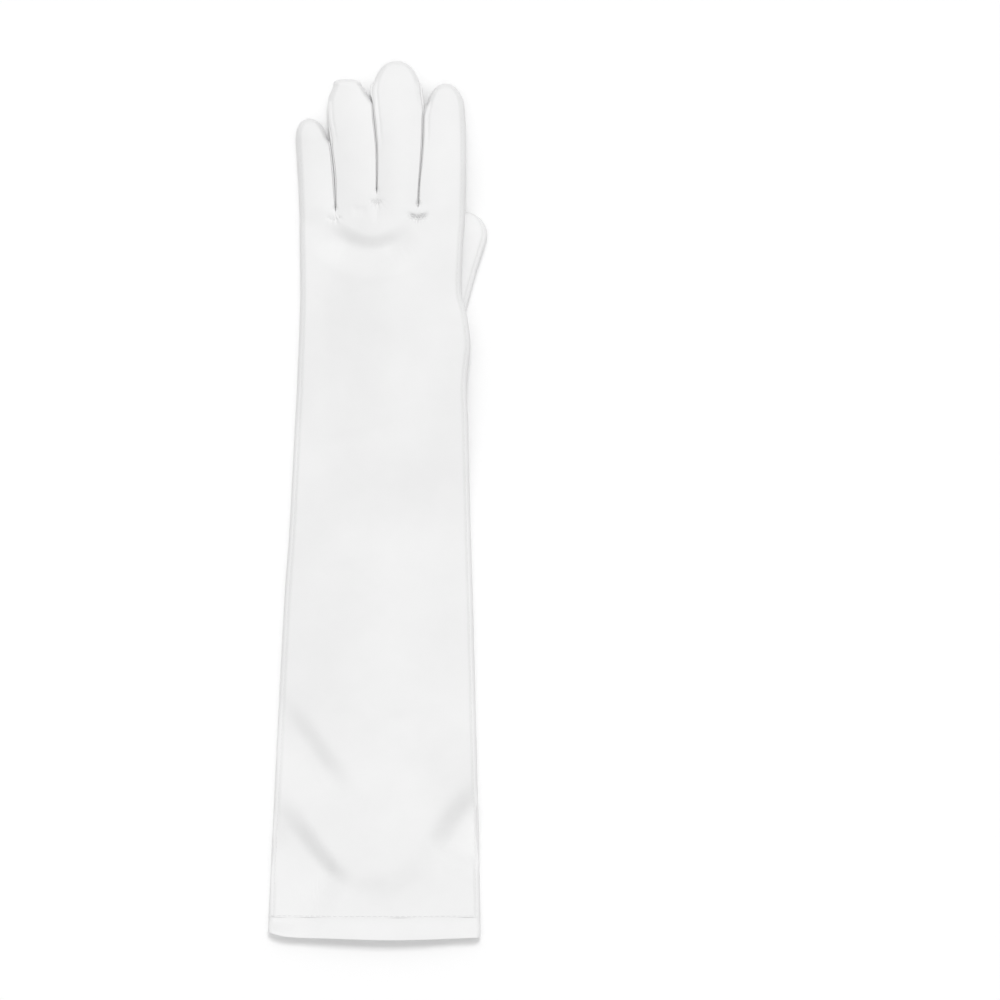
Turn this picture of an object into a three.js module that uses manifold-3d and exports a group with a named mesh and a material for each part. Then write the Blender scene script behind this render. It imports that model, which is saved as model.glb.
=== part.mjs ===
// A long satin dress glove for the left hand, lying palm down on a flat surface.
// Millimetres, +Z up. The fingers point along +Y and the thumb side is +X.
// The origin is the middle of the underside, on the surface that the glove lies on.
import * as THREE from "three";
import { mergeVertices } from "three/addons/utils/BufferGeometryUtils.js";
import Module from "manifold-3d";

const wasm = await Module();
wasm.setup();

// Cloth and seams
const WALL = 1; // one layer of cloth
const HEM_WALL = 2; // the hem is doubled cloth
const SEAM_GAP = 0.3; // between two sewn pieces
const STRIP_HEIGHT = 6; // width of the strips between the fingers
const STRIP_REACH = 11; // how far short of each fingertip such a strip ends

// Lengths along the glove
const HEM_TOP = -213.5; // the row of stitches that closes the hem
const CUFF_END = -230; // past the open end
const FOLDS_END = -105; // above this the sleeve is smooth
const HEEL = 60; // where the hand starts
const KNUCKLES = 138; // inside the hand, where the fingers' tubes start
const HAND_FRONT = 145; // where the fingers part

// The sleeve and the hand. left and right are the outline seen from above, side is the height of
// the folded side, corner is its rounding, and crown is how far the middle stands above the side.
const TRANK = [
  { y: -225, left: -55.8, right: 53.3, side: 6.4, corner: 3.2, crown: 5 },
  { y: -213, left: -55.2, right: 53.1, side: 6.4, corner: 3.2, crown: 5 },
  { y: -140, left: -51.7, right: 51.5, side: 6.4, corner: 3.2, crown: 5 },
  { y: -50, left: -47.1, right: 49.2, side: 6.4, corner: 3.2, crown: 5 },
  { y: -14, left: -44.5, right: 48.1, side: 6.4, corner: 3.2, crown: 4.8 },
  { y: 43, left: -41.5, right: 46.7, side: 6.6, corner: 3.1, crown: 4.5 },
  { y: 58, left: -40.6, right: 46.2, side: 7, corner: 2.9, crown: 4.2 },
  { y: 69, left: -40.2, right: 47.1, side: 7.4, corner: 2.8, crown: 3.9 },
  { y: 80, left: -39.7, right: 48.1, side: 7.8, corner: 2.7, crown: 3.6 },
  { y: 94, left: -39.2, right: 46.4, side: 8.3, corner: 2.6, crown: 3.2 },
  { y: 106, left: -38.9, right: 43.6, side: 8.6, corner: 2.5, crown: 2.9 },
  { y: 132, left: -39.2, right: 44.3, side: 9, corner: 2.3, crown: 2 },
  { y: 145, left: -39.4, right: 45.4, side: 9, corner: 2.3, crown: 1.4 },
];

// The fingers, from inside the hand to the start of the rounded tip, and the tip itself. round is
// the length over which the tip closes, and tipX is where its furthest point lies.
const FINGER_SIDE = 9;
const FINGER_CORNER = 2.3;
const FINGER_CROWN = 1.3;
const FINGERS = {
  pinky: {
    tipX: -34.4,
    tipY: 195.3,
    round: 11,
    rows: [
      { y: 138, left: -39.2, right: -22.6 },
      { y: 148, left: -39.3, right: -22.6 },
      { y: 161, left: -39.9, right: -22.9 },
      { y: 174, left: -40.6, right: -23.6 },
      { y: 184, left: -41.3, right: -24.9 },
    ],
  },
  ring: {
    tipX: -15.2,
    tipY: 215.6,
    round: 5,
    rows: [
      { y: 138, left: -19.6, right: 0.6 },
      { y: 150, left: -20.2, right: 0.5 },
      { y: 161, left: -20.4, right: -0.2 },
      { y: 174, left: -21.2, right: -0.8 },
      { y: 184, left: -22.6, right: -1.7 },
      { y: 194.5, left: -24.3, right: -2.9 },
      { y: 204, left: -24.2, right: -3.8 },
      { y: 210.6, left: -22.9, right: -6.2 },
    ],
  },
  middle: {
    tipX: 10.2,
    tipY: 224.8,
    round: 17,
    rows: [
      { y: 138, left: 0.5, right: 21.5 },
      { y: 150, left: 0.5, right: 21.5 },
      { y: 161, left: 0.9, right: 21.9 },
      { y: 174, left: 0.5, right: 22.5 },
      { y: 184, left: -0.4, right: 23.2 },
      { y: 194.5, left: -1.6, right: 23.6 },
      { y: 207.8, left: -2.1, right: 22.7 },
    ],
  },
  index: {
    tipX: 35.4,
    tipY: 213.2,
    round: 15,
    rows: [
      { y: 138, left: 22.9, right: 45.2 },
      { y: 150, left: 23.1, right: 45.3 },
      { y: 161, left: 23.9, right: 45.6 },
      { y: 174, left: 24.6, right: 45.8 },
      { y: 184, left: 25.4, right: 45.8 },
      { y: 198.2, left: 25.6, right: 45.3 },
    ],
  },
};

// The strips of cloth between the fingers, which make the sides that face each other.
const STRIPS = [
  { name: "fourchette_pinky_ring", from: FINGERS.pinky, to: FINGERS.ring },
  { name: "fourchette_ring_middle", from: FINGERS.ring, to: FINGERS.middle },
  { name: "fourchette_middle_index", from: FINGERS.middle, to: FINGERS.index },
];

// The thumb lies on the surface, from its closed rear end under the heel of the hand to its tip.
const THUMB_REAR = new THREE.Vector2(24.5, 66);
const THUMB_TIP = new THREE.Vector2(48.2, 147);
const THUMB_REAR_ROUND = 9;
const THUMB_TIP_ROUND = 12;
const THUMB_SIDE = 6.6;
const THUMB_CORNER = 3;
const THUMB_WIDTHS = [
  { fromRear: 0, half: 11.5 },
  { fromRear: 30, half: 11.8 },
  { fromRear: 55, half: 11.4 },
  { fromRear: 70, half: 11.7 },
  { fromRear: 84, half: 11.8 },
];

// The thumbhole is an oval in the palm, over the rear half of the thumb. The thumb's collar
// stands in it.
const THUMBHOLE = { fromRear: 21, halfWidth: 8.5, halfLength: 14 };

// The palm rises over the thumb by LIFT, and comes down smoothly around it.
const LIFT = 7;
const LIFT_ACROSS = { start: -28, full: 13 };
const LIFT_HEEL = { start: 6, full: 64 };
const LIFT_FINGERS = { start: 214, full: 149 };

// Soft valleys in the upper layer: two ends, half the width across, and the depth.
const FOLDS = {
  upperDiagonal: { x1: -44, y1: -111, x2: -16, y2: -148, half: 9, depth: 1.3 },
  lowerDiagonal: { x1: -43, y1: -162, x2: -14, y2: -195, half: 10, depth: 1.8 },
  thumbSide: { x1: 45, y1: -157, x2: 32, y2: -174, half: 9, depth: 1.4 },
  swag: { x1: -10, y1: -194, x2: 30, y2: -180, half: 11, depth: 0.7 },
  knucklesOfRing: { x1: -22, y1: 138, x2: -5, y2: 131, half: 8, depth: 0.8 },
  knucklesOfMiddle: { x1: -4, y1: 131, x2: 12, y2: 136, half: 8, depth: 0.8 },
};

// The lower edge of the hem, which is turned up a little at the corner on the left.
const HEM_EDGE = [
  { x: -56, y: -220.6 },
  { x: -46, y: -223.2 },
  { x: -24, y: -224 },
  { x: 11, y: -224.8 },
  { x: 53.5, y: -223.7 },
];

// How finely a section is drawn
const TRANK_STEPS = { top: 12, bottom: 6 };
const FINGER_STEPS = { top: 4, bottom: 2 };
const CORNER_STEPS = 2;
const TIP_STEPS = [0.4, 0.7, 0.9, 0.985];

function ease(t) {
  const held = THREE.MathUtils.clamp(t, 0, 1);
  return held * held * (3 - 2 * held);
}

function steps(from, to, count) {
  return Array.from({ length: count + 1 }, (_, n) => from + ((to - from) * n) / count);
}

// A smooth curve through the rows of a table: the value of one column where key is at.
function through(rows, key, at, column) {
  const last = rows.length - 1;
  if (at <= rows[0][key]) return rows[0][column];
  if (at >= rows[last][key]) return rows[last][column];
  const i = rows.findIndex((row, n) => at <= rows[n + 1][key]);
  const slope = (n) => {
    const before = rows[Math.max(n - 1, 0)];
    const after = rows[Math.min(n + 1, last)];
    return (after[column] - before[column]) / (after[key] - before[key]);
  };
  const span = rows[i + 1][key] - rows[i][key];
  const t = (at - rows[i][key]) / span;
  const [start, end] = [rows[i][column], rows[i + 1][column]];
  const bend = t * (1 - t) * span * ((1 - t) * slope(i) - t * slope(i + 1));
  return start + (end - start) * ease(t) + bend;
}

// How far the cloth is raised off the surface by the thumb under it.
function lift(x, y) {
  const part = ({ start, full }, at) => ease((at - start) / (full - start));
  return LIFT * part(LIFT_ACROSS, x) * part(LIFT_HEEL, y) * part(LIFT_FINGERS, y);
}

function foldDepth(x, y) {
  let depth = 0;
  for (const fold of Object.values(FOLDS)) {
    const run = new THREE.Vector2(fold.x2 - fold.x1, fold.y2 - fold.y1);
    const offset = new THREE.Vector2(x - fold.x1, y - fold.y1);
    const part = THREE.MathUtils.clamp(offset.dot(run) / run.lengthSq(), 0, 1);
    const distance = offset.addScaledVector(run, -part).length();
    depth += fold.depth * ease(1 - distance / fold.half);
  }
  return depth;
}

// Half way up the folded side, where the side seam runs.
function seamHeight(x, y) {
  return through(TRANK, "y", y, "side") / 2 + lift(x, y);
}

function toSolid(geometry) {
  geometry.deleteAttribute("normal");
  geometry.deleteAttribute("uv");
  const merged = mergeVertices(geometry, 1e-5);
  const vertProperties = new Float32Array(merged.attributes.position.array);
  const triVerts = new Uint32Array(merged.index.array);
  return new wasm.Manifold(new wasm.Mesh({ numProp: 3, vertProperties, triVerts }));
}

// A closed body through rings of points, with a fan at each end. The rings run anticlockwise seen
// from the first end.
function loft(rings) {
  const count = rings[0].length;
  const positions = rings.flat().flatMap((point) => [point.x, point.y, point.z]);
  const indices = [];
  for (let r = 0; r < rings.length - 1; r += 1) {
    for (let n = 0; n < count; n += 1) {
      const a = r * count + n;
      const b = r * count + ((n + 1) % count);
      indices.push(a, b + count, b, a, a + count, b + count);
    }
  }
  for (const end of [0, rings.length - 1]) {
    const hub = new THREE.Vector3();
    rings[end].forEach((point) => hub.addScaledVector(point, 1 / count));
    const centre = positions.length / 3;
    positions.push(hub.x, hub.y, hub.z);
    for (let n = 0; n < count; n += 1) {
      const a = end * count + n;
      const b = end * count + ((n + 1) % count);
      indices.push(...(end === 0 ? [centre, a, b] : [centre, b, a]));
    }
  }
  const geometry = new THREE.BufferGeometry();
  geometry.setAttribute("position", new THREE.Float32BufferAttribute(positions, 3));
  geometry.setIndex(indices);
  return toSolid(geometry);
}

// The outline of a flattened tube: a flat underside, rounded sides and a crowned top. inset moves
// all of it inward, for the inner face of the cloth. pressed marks the points that folds press in.
function flatSection({ left, right, side, corner, crown }, inset, counts) {
  const half = (right - left) / 2 - inset;
  const middle = (left + right) / 2;
  const radius = Math.max(Math.min(corner, side / 2, half + inset) - inset, 0.3);
  const reach = Math.max(half - radius, 0.01);
  const top = Math.max(side - inset, inset + 2 * radius);
  const points = [];
  const arc = (x, z, start) => {
    for (let n = 0; n <= CORNER_STEPS; n += 1) {
      const angle = start + (n / CORNER_STEPS) * (Math.PI / 2);
      points.push({ x: x + radius * Math.cos(angle), z: z + radius * Math.sin(angle) });
    }
  };
  for (let n = 1; n < counts.bottom; n += 1) {
    points.push({ x: middle - reach + (2 * reach * n) / counts.bottom, z: inset });
  }
  arc(middle + reach, inset + radius, -Math.PI / 2);
  arc(middle + reach, top - radius, 0);
  for (let n = 1; n < counts.top; n += 1) {
    const across = 1 - (2 * n) / counts.top;
    const z = top + crown * (1 - across * across);
    points.push({ x: middle + reach * across, z, pressed: true });
  }
  arc(middle - reach, top - radius, Math.PI / 2);
  arc(middle - reach, inset + radius, Math.PI);
  return points;
}

function trankRing(y, inset, edge = () => y) {
  const columns = ["left", "right", "side", "corner", "crown"];
  const row = Object.fromEntries(columns.map((name) => [name, through(TRANK, "y", y, name)]));
  return flatSection(row, inset, TRANK_STEPS).map(({ x, z, pressed }) => {
    const fold = pressed ? foldDepth(x, y) : 0;
    return new THREE.Vector3(x, edge(x), z + lift(x, y) - fold);
  });
}

// The sleeve and the hand as one body, from below to the line where the fingers part.
function trankBody(below, front, inset) {
  const stations = [
    ...steps(HEM_TOP, FOLDS_END, 12),
    ...steps(FOLDS_END, HEEL, 5).slice(1, -1),
    ...steps(HEEL, HAND_FRONT, 7),
  ];
  stations[0] = below;
  stations[stations.length - 1] = front;
  return loft(stations.map((y) => trankRing(y, inset)));
}

// The edges of a finger at y. The tip of its inner face is nearer by inset.
function fingerEdges(finger, y, inset) {
  const t = Math.max((y - finger.tipY + finger.round) / (finger.round - inset), 0);
  const close = Math.sqrt(Math.max(1 - t * t, 0));
  const left = through(finger.rows, "y", y, "left");
  const right = through(finger.rows, "y", y, "right");
  const middle = THREE.MathUtils.lerp((left + right) / 2, finger.tipX, Math.min(t, 1));
  const half = ((right - left) / 2) * close;
  return { left: middle - half, middle, right: middle + half, close };
}

function fingerBody(finger, inset) {
  const roundStart = finger.tipY - finger.round;
  const tip = TIP_STEPS.map((t) => roundStart + t * (finger.round - inset));
  const stations = [...steps(KNUCKLES, roundStart, 5), ...tip];
  const rings = stations.map((y) => {
    const { left, right, close } = fingerEdges(finger, y, inset);
    const squeeze = 0.35 + 0.65 * close;
    const side = FINGER_SIDE * squeeze;
    const crown = FINGER_CROWN * squeeze * (0.3 + 0.7 * ease((y - KNUCKLES) / 12));
    const row = { left, right, side, corner: FINGER_CORNER, crown };
    const rise = (FINGER_SIDE - side) / 2;
    const section = flatSection(row, inset, FINGER_STEPS);
    return section.map(({ x, z }) => new THREE.Vector3(x, y, z + rise + lift(x, y)));
  });
  return loft(rings);
}

function handBody(below, front, inset) {
  const fingers = Object.values(FINGERS).map((finger) => fingerBody(finger, inset));
  return fingers.reduce((body, finger) => body.add(finger), trankBody(below, front, inset));
}

// The body between two curved surfaces, over a range of x that changes with y.
function layer(stations, edges, low, high, acrossSteps) {
  const rings = stations.map((y) => {
    const { from, to } = edges(y);
    const line = steps(from, to, acrossSteps);
    const under = line.map((x) => new THREE.Vector3(x, y, low(x, y)));
    const over = line.map((x) => new THREE.Vector3(x, y, high(x, y)));
    return [...under, ...over.reverse()];
  });
  return loft(rings);
}

// All the space above the side seam, raised by offset.
function aboveSeam(offset) {
  const stations = [...steps(CUFF_END, LIFT_HEEL.start, 2), ...steps(18, 230, 17)];
  const across = () => ({ from: -62, to: 62 });
  return layer(stations, across, (x, y) => seamHeight(x, y) + offset, () => 40, 8);
}

// The space of one strip: from the middle of one finger to the middle of the next, around the
// height of the seam. grow widens it for the gap that the seams leave.
function stripSpace({ from, to }, grow) {
  const half = STRIP_HEIGHT / 2 + grow;
  const low = (x, y) => seamHeight(x, y) - half;
  const high = (x, y) => seamHeight(x, y) + half;
  const overlap = 0.4;
  const parting = (y) => {
    return (fingerEdges(from, y, 0).right + fingerEdges(to, y, 0).left) / 2;
  };
  const nearEdges = (y) => {
    const { middle, right } = fingerEdges(from, y, 0);
    return { from: middle, to: Math.max(parting(y), right) + overlap };
  };
  const farEdges = (y) => {
    const { middle, left } = fingerEdges(to, y, 0);
    return { from: Math.min(parting(y), left) - overlap, to: middle };
  };
  const stationsTo = (finger) => {
    return steps(KNUCKLES + 1 - grow, finger.tipY - STRIP_REACH + grow, 5);
  };
  const near = layer(stationsTo(from), nearEdges, low, high, 2);
  const far = layer(stationsTo(to), farEdges, low, high, 2);
  return near.add(far);
}

// The thumb, as a flattened tube along its own slanting axis.
function thumbBody(inset) {
  const axis = THUMB_TIP.clone().sub(THUMB_REAR);
  const length = axis.length();
  axis.normalize();
  const across = new THREE.Vector2(axis.y, -axis.x);
  const rearEnd = TIP_STEPS.map((t) => THUMB_REAR_ROUND - t * (THUMB_REAR_ROUND - inset)).reverse();
  const tipStart = length - THUMB_TIP_ROUND;
  const tipEnd = TIP_STEPS.map((t) => tipStart + t * (THUMB_TIP_ROUND - inset));
  const stations = [...rearEnd, ...steps(THUMB_REAR_ROUND, tipStart, 3), ...tipEnd];
  const rings = stations.map((fromRear) => {
    const rear = (THUMB_REAR_ROUND - fromRear) / (THUMB_REAR_ROUND - inset);
    const tip = (fromRear - tipStart) / (THUMB_TIP_ROUND - inset);
    const t = Math.max(rear, tip, 0);
    const close = Math.sqrt(1 - t * t);
    const half = through(THUMB_WIDTHS, "fromRear", fromRear, "half") * close;
    const side = THUMB_SIDE * (0.4 + 0.6 * close);
    const row = { left: -half, right: half, side, corner: THUMB_CORNER, crown: 0 };
    const centre = THUMB_REAR.clone().addScaledVector(axis, fromRear);
    return flatSection(row, inset, FINGER_STEPS).map((point) => {
      const place = centre.clone().addScaledVector(across, point.x);
      return new THREE.Vector3(place.x, place.y, point.z);
    });
  });
  return loft(rings);
}

// An upright oval body in line with the thumb, over the thumbhole, smaller by shrink all round.
function thumbOval(shrink, low, high) {
  const axis = THUMB_TIP.clone().sub(THUMB_REAR).normalize();
  const centre = THUMB_REAR.clone().addScaledVector(axis, THUMBHOLE.fromRear);
  const turn = axis.angle() - Math.PI / 2;
  const halfWidth = THUMBHOLE.halfWidth - shrink;
  const halfLength = THUMBHOLE.halfLength - shrink;
  const shape = new THREE.Shape();
  shape.absellipse(centre.x, centre.y, halfWidth, halfLength, 0, Math.PI * 2, false, turn);
  const options = { depth: high - low, bevelEnabled: false, curveSegments: 12 };
  return toSolid(new THREE.ExtrudeGeometry(shape, options).translate(0, 0, low));
}

// The thumb's mouth opens upward, through a collar as high as the inner face of the palm.
function makeThumb() {
  const collar = thumbOval(SEAM_GAP, THUMB_SIDE - WALL, LIFT + WALL);
  const mouth = thumbOval(SEAM_GAP + WALL, THUMB_SIDE / 2, LIFT + 2 * WALL);
  return thumbBody(0).add(collar).subtract(thumbBody(WALL)).subtract(mouth);
}

function makeHem() {
  const edge = (x) => through(HEM_EDGE, "x", x, "y");
  const top = HEM_TOP - SEAM_GAP;
  const outer = loft([trankRing(-225, 0, edge), trankRing(top, 0)]);
  return outer.subtract(loft([trankRing(CUFF_END, HEM_WALL), trankRing(HEM_TOP, HEM_WALL)]));
}

function addPiece(group, name, solid) {
  const { vertProperties, triVerts } = solid.getMesh();
  const geometry = new THREE.BufferGeometry();
  geometry.setAttribute("position", new THREE.BufferAttribute(vertProperties, 3));
  geometry.setIndex(new THREE.BufferAttribute(triVerts, 1));
  geometry.computeVertexNormals();
  const satin = new THREE.MeshStandardMaterial({ color: 0xf2f1ef, roughness: 0.42, metalness: 0 });
  const mesh = new THREE.Mesh(geometry, satin);
  mesh.name = name;
  group.add(mesh);
}

function makeGlove() {
  const glove = new THREE.Group();
  const inner = handBody(CUFF_END, HAND_FRONT - WALL, WALL);
  const shell = handBody(HEM_TOP, HAND_FRONT, 0).subtract(inner);
  let panels = shell;
  for (const strip of STRIPS) {
    panels = panels.subtract(stripSpace(strip, SEAM_GAP));
    addPiece(glove, strip.name, shell.intersect(stripSpace(strip, 0)));
  }
  const thumbhole = thumbOval(0, LIFT - SEAM_GAP, LIFT + 2 * WALL);
  addPiece(glove, "back_panel", panels.intersect(aboveSeam(SEAM_GAP / 2)));
  const lower = panels.subtract(aboveSeam(-SEAM_GAP / 2));
  addPiece(glove, "palm_panel", lower.subtract(thumbhole));
  addPiece(glove, "thumb", makeThumb());
  addPiece(glove, "hem_band", makeHem());
  return glove;
}

export default makeGlove();
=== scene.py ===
"""A long white satin dress glove for the left hand, lying palm down on a pale floor.

The tables are in millimetres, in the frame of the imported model, and meshes are made in metres.
"""

import math

import bmesh
import bpy
import numpy as np
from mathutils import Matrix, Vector


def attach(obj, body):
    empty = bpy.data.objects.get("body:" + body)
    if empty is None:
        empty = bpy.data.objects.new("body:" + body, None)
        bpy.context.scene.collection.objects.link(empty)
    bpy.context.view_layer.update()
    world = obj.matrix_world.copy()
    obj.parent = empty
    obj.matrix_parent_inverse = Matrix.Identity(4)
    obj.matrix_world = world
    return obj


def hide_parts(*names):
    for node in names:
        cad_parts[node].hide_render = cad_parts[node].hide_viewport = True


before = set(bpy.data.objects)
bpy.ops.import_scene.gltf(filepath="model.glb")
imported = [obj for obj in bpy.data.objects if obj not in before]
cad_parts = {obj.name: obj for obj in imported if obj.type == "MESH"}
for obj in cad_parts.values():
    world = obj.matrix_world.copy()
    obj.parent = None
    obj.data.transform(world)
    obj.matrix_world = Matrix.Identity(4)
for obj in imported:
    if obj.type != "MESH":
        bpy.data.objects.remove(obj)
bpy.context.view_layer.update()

MM = 0.001
MERGED_WITHIN = 0.02  # points that are closer together than this are one
SHORTEST_EDGE = 0.01

# The thickness of the cloth
CLOTH = 0.55
HEM_CLOTH = 1.3
STRIP_CLOTH = CLOTH * 0.8

# Places along the glove, and the rows of points between them
HEM_TOP = -213.5
HAND_START = 100
KNUCKLES = 138
FINGER_ROWS_START = 158
SHARP_EDGE = 0.06  # from a panel's lower edge to the row that keeps the edge sharp
SLEEVE_FROM = 0.9  # from that edge to the first of the sleeve's even rows
SLEEVE_ROWS = 136
HAND_ROWS = 40
WEB_ROWS = 41
TIP_ROWS = 19
ROW_PITCH = 1.1  # of the rows along the straight part of a finger
CROWDING = 0.8  # how much closer together a finger's columns are at its sides

# The sleeve and the hand: the outline, the height of the folded side, the rounding of that side
# and how far the middle stands above it.
TRANK_COLUMNS = ("y", "left", "right", "side", "corner", "crown")
TRANK = [
    (-225, -55.8, 53.3, 6.4, 3.2, 5),
    (-213, -55.2, 53.1, 6.4, 3.2, 5),
    (-140, -51.7, 51.5, 6.4, 3.2, 5),
    (-50, -47.1, 49.2, 6.4, 3.2, 5),
    (-14, -44.5, 48.1, 6.4, 3.2, 4.8),
    (43, -41.5, 46.7, 6.6, 3.1, 4.5),
    (58, -40.6, 46.2, 7, 2.9, 4.2),
    (69, -40.2, 47.1, 7.4, 2.8, 3.9),
    (80, -39.7, 48.1, 7.8, 2.7, 3.6),
    (94, -39.2, 46.4, 8.3, 2.6, 3.2),
    (106, -38.9, 43.6, 8.6, 2.5, 2.9),
    (132, -39.2, 44.3, 9, 2.3, 2),
    (145, -39.4, 45.4, 9, 2.3, 1.4),
]

# The fingers. Each edge is a list of (y, x), and an edge beside a slit starts at the web. round is
# the length over which the tip closes, and blunt is the power of its outline.
FINGER_CROWN = 1.3
TIP_THICKNESS = 0.35  # the share of the thickness that is left at the outline of a fingertip
TIP_CORNER = 3.2
CORNER_SLOPE = 0.45  # how much of an outer corner is a straight slope, the rest being a quarter circle
KNUCKLE_BLEND = 6  # the length over which the hand's outline turns into the fingers'
CROWN_BLEND = 14  # the length over which the hand's crown turns into the fingers'
WEB_BLEND = 5  # the length above a web over which a slit takes its form
LEAST_HALF = 0.1  # a smaller half width counts as this
SLIT_CORNER = 0.5
SLIT_TIP_CORNER = 1.2
SLIT_CLOSING = 0.24  # how far each side of a slit curls towards the other, as a share of its width
SLIT_OPENS = 8  # how far below the shorter finger's tip two fingers part
SLIT_FADE = 8  # the length over which they part
FINGERS = {
    "pinky": {
        "tip": (-34.4, 195.3),
        "round": 11,
        "blunt": 2,
        "columns": 34,
        "left": [(138, -39.2), (148, -39.3), (161, -39.9), (174, -40.6), (184, -41.2)],
        "right": [(147, -20.9), (151, -21.6), (158, -22.5), (166, -23.2), (176, -24.1), (184, -25.1)],
    },
    "ring": {
        "tip": (-15.4, 215.4),
        "round": 4,
        "blunt": 3,
        "columns": 38,
        "left": [(147, -20.9), (151, -20.2), (158, -19.9), (166, -20), (176, -21.2), (184, -22.4),
                 (190, -23.6), (194.5, -24.4), (201, -24.8), (206, -24.5), (212, -22.1)],
        "right": [(156, 0.3), (160, -0.2), (170, -0.5), (180, -0.8), (187, -1.5), (194.5, -2.5),
                  (204, -3), (208, -4.9), (212, -7.4)],
    },
    "middle": {
        "tip": (10.2, 224.8),
        "round": 17,
        "blunt": 2.1,
        "columns": 38,
        "left": [(156, 0.3), (160, 0.8), (170, 1.2), (180, 1.2), (187, 0.7), (194.5, 0.1),
                 (201, -0.9), (207.8, -1.9)],
        "right": [(149, 21.4), (151.3, 20.7), (162, 21.4), (170, 21.9), (180, 22.4), (187, 22.7),
                  (194.5, 22.9), (201, 23.3), (207.8, 22.4)],
    },
    "index": {
        "tip": (35.4, 213.2),
        "round": 15,
        "blunt": 2,
        "columns": 40,
        "left": [(149, 21.4), (151.3, 22.3), (162, 22.7), (170, 23.6), (180, 24.6), (187, 24.9),
                 (195, 25), (198.2, 25.5)],
        "right": [(138, 45.2), (150, 45.3), (161, 45.6), (174, 45.8), (184, 45.8), (198.2, 45.3)],
    },
}

# The strips of cloth round the slits: the node that each stands for and its two fingers
STRIPS = [
    ("fourchette_pinky_ring", "pinky", "ring"),
    ("fourchette_ring_middle", "ring", "middle"),
    ("fourchette_middle_index", "middle", "index"),
]
STRIP_HEIGHT = 7.4
STRIP_COLUMNS = 13
STRIP_CROWDING = 0.6  # under 1, the columns are closer together near the strip's upper edge
STRIP_CREST = 9  # the higher, the nearer to its upper edge a strip bulges most
STRIP_BLUNTNESS = 0.8  # the lower, the blunter the bulge
STRIP_INSET = 0.1  # how far a strip's edges lie inside the finger's outline
STRIP_END = 9.5  # how far below the fingertip a strip ends
STRIP_FADE = 4  # the length over which it ends
ABOVE_WEB = 0.2  # how far above the web its lowest points are
SEAM_GAP = 0.3  # the most that stays open between a strip and the finger's layers
WIDEST_SLIT = 3.4
STRIP_PARTING = 0.05  # half the gap between the two sides of a strip

# The thumb, from its closed rear end under the heel of the hand to its tip.
THUMB_REAR = np.array([24.5, 66.0])
THUMB_TIP = np.array([48.2, 147.0])
THUMB_REAR_ROUND = 9
THUMB_TIP_ROUND = 12
THUMB_SIDE = 6.4
THUMB_CORNER = 3.2
THUMB_WIDTHS = [(0, 11.5), (30, 11.8), (55, 11.4), (70, 11.7), (84, 11.8)]
THUMB_AROUND = {"top": 26, "bottom": 22, "corner": 8}
THUMB_ROWS = 62
THUMB_END_ROWS = 14
THUMB_CROWN = 0.2
THUMB_END_SIDE = 0.25  # the share of the side's height that is left at both ends
THUMB_END_RISE = 0.35  # how much of the height lost there is lost from below
THUMB_LEAST_HALF = 0.02
THUMB_FLATTEST = 0.98  # the most of its half width that its rounding takes up
THUMB_SEAM_DEPTH = 0.9
THUMB_SEAM_FROM = 0.6  # the share of the side's height above which the seam lies
THUMB_UNEVENNESS = 0.25
THUMB_UNEVEN_FROM = 0.8
THUMBHOLE = {"from_rear": 21, "half_width": 8.3, "half_length": 13.8}

# How far the cloth rises over the thumb, and where it starts to and is at its highest: across the
# glove, coming from the hem and coming from the fingertips.
LIFT = 7
LIFT_ACROSS = (-28, 13)
LIFT_HEEL = (-22, 66)
LIFT_FINGERS = (226, 143)

# Valleys pressed into the upper layer: the line they follow, the depth, and how far they reach on
# the side towards the fingers and on the side towards the hem.
FOLDS = [
    {"line": [(-55, -101), (-42, -118), (-34, -129), (-26, -140), (-17, -154)], "depth": 3.1,
     "reach": (8, 36)},
    {"line": [(-57, -153), (-43, -172), (-34, -183), (-25, -192), (-13, -200)], "depth": 5.5,
     "reach": (8.5, 46)},
    {"line": [(-15, -200), (4, -203), (20, -198), (32, -188)], "depth": 1.6, "reach": (14, 30)},
    {"line": [(58, -146), (46, -163), (40, -173), (33, -184)], "depth": 5.2, "reach": (9.5, 42)},
    {"line": [(-28, 142), (-18, 132.5), (-4, 127.5), (9, 130), (20, 138)], "depth": 3.2,
     "reach": (8.5, 15)},
    {"line": [(-13, 148), (-4, 148)], "depth": 0.4, "reach": (3, 5)},
    {"line": [(-39, 23), (-12, 32), (17, 41)], "depth": 0.3, "reach": (6, 12)},
    {"line": [(-34, -39), (-20, -35), (-6, -33)], "depth": 0.35, "reach": (5, 12)},
    {"line": [(4, -111), (17, -111)], "depth": 0.35, "reach": (4, 8)},
]
FOLD_FADE = 0.32  # the share of a valley's length over which each end fades
FOLD_END = 0.12  # the share of its depth that is left at its ends
FOLD_STEPS = 5  # the pieces that each part of its line is divided into

# The gathered cloth below each web: where it is, how far below the web it curves, its depth, the
# number of wrinkles in it, how high they rise and how far it goes round.
GATHERS = [
    {"x": 21.4, "y": 149.3, "radius": 5.4, "depth": 1.7, "wrinkles": 9, "rise": 0.7,
     "half_angle": 0.95},
    {"x": 0.2, "y": 154.8, "radius": 3.2, "depth": 0.6, "wrinkles": 5, "rise": 0.4,
     "half_angle": 1.0},
    {"x": -21.6, "y": 147.5, "radius": 4.2, "depth": 0.4, "wrinkles": 4, "rise": 0.25,
     "half_angle": 1.0},
]
GATHER_HALF = 0.95
WRINKLES_HALF = 2.4  # how many times as wide as the valley the wrinkles are
GATHER_END = 1.3  # where the gather ends, as a share of its half angle
GATHER_FADE = 1.6  # the higher, the more sudden its ends are
STITCHED_SHARE = 0.8  # the share of the half angle that has stitches

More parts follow.
